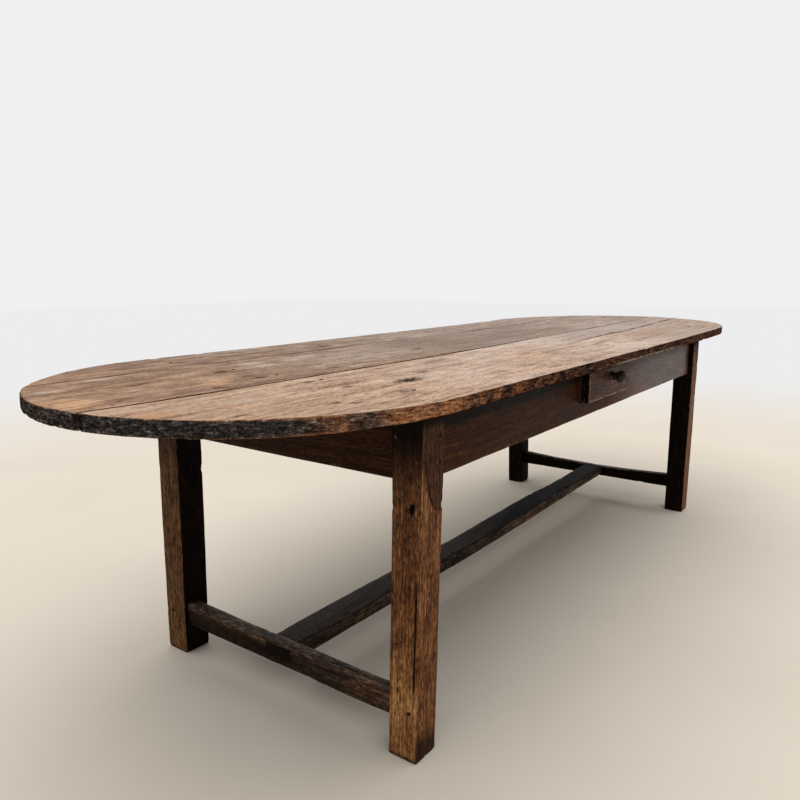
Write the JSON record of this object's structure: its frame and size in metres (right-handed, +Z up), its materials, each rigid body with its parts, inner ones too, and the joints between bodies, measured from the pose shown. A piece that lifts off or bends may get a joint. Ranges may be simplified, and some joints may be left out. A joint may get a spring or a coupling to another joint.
{
  "type": "communal table",
  "caption": "Long farmhouse plank table with half-round ends, square pegged legs, a low H-shaped stretcher and a drawer with a turned knob in its long side.",
  "frame": {"origin": "on the floor under the middle of the table top", "axes": "+X along the table, -Y out of the drawer side, +Z up"},
  "size_m": [2.8396, 0.956, 0.75],
  "materials": {
    "top_wood": "worn, waxed plank with open grain",
    "leg_wood": "old stain, worn through to orange brown at the edges",
    "apron_wood": "dark red-brown old stain",
    "stretcher_wood": "near-black, foot-worn",
    "drawer_front_wood": "dark red-brown old stain",
    "drawer_box_wood": "bare, dry wood",
    "knob_wood": "turned, dark and hand-polished",
    "peg_wood": "dark end grain"
  },
  "bodies": {
    "table": {"apron_back": "apron_wood", "apron_front": "apron_wood", "apron_left_end": "apron_wood", "apron_right_end": "apron_wood", "drawer_guide_left": "drawer_box_wood", "drawer_guide_right": "drawer_box_wood", "drawer_runner_left": "drawer_box_wood", "drawer_runner_right": "drawer_box_wood", "drawer_stop_left": "drawer_box_wood", "drawer_stop_right": "drawer_box_wood", "leg_back_left": "leg_wood", "leg_back_right": "leg_wood", "leg_front_left": "leg_wood", "leg_front_right": "leg_wood", "peg_back_left_end_high": "peg_wood", "peg_back_left_end_low": "peg_wood", "peg_back_left_long_high": "peg_wood", "peg_back_left_long_low": "peg_wood", "peg_back_left_stretcher": "peg_wood", "peg_back_right_end_high": "peg_wood", "peg_back_right_end_low": "peg_wood", "peg_back_right_long_high": "peg_wood", "peg_back_right_long_low": "peg_wood", "peg_back_right_stretcher": "peg_wood", "peg_front_left_end_high": "peg_wood", "peg_front_left_end_low": "peg_wood", "peg_front_left_long_high": "peg_wood", "peg_front_left_long_low": "peg_wood", "peg_front_left_stretcher": "peg_wood", "peg_front_right_end_high": "peg_wood", "peg_front_right_end_low": "peg_wood", "peg_front_right_long_high": "peg_wood", "peg_front_right_long_low": "peg_wood", "peg_front_right_stretcher": "peg_wood", "stretcher_centre": "stretcher_wood", "stretcher_left_end": "stretcher_wood", "stretcher_right_end": "stretcher_wood", "top_board_back": "top_wood", "top_board_front": "top_wood", "top_board_middle": "top_wood", "top_peg_left_1": "peg_wood", "top_peg_left_2": "peg_wood", "top_peg_left_3": "peg_wood", "top_peg_left_4": "peg_wood", "top_peg_left_5": "peg_wood", "top_peg_right_1": "peg_wood", "top_peg_right_2": "peg_wood", "top_peg_right_3": "peg_wood", "top_peg_right_4": "peg_wood", "top_peg_right_5": "peg_wood"},
    "drawer": {"drawer_front": "drawer_front_wood", "drawer_side_left": "drawer_box_wood", "drawer_side_right": "drawer_box_wood", "drawer_back": "drawer_box_wood", "drawer_bottom": "drawer_box_wood", "drawer_knob": "knob_wood"}
  },
  "joints": [
    {"name": "drawer_slide", "type": "slide", "parent": "table", "child": "drawer", "axis": [0, -1, 0], "range_m": [-0.029, 0.29]}
  ]
}
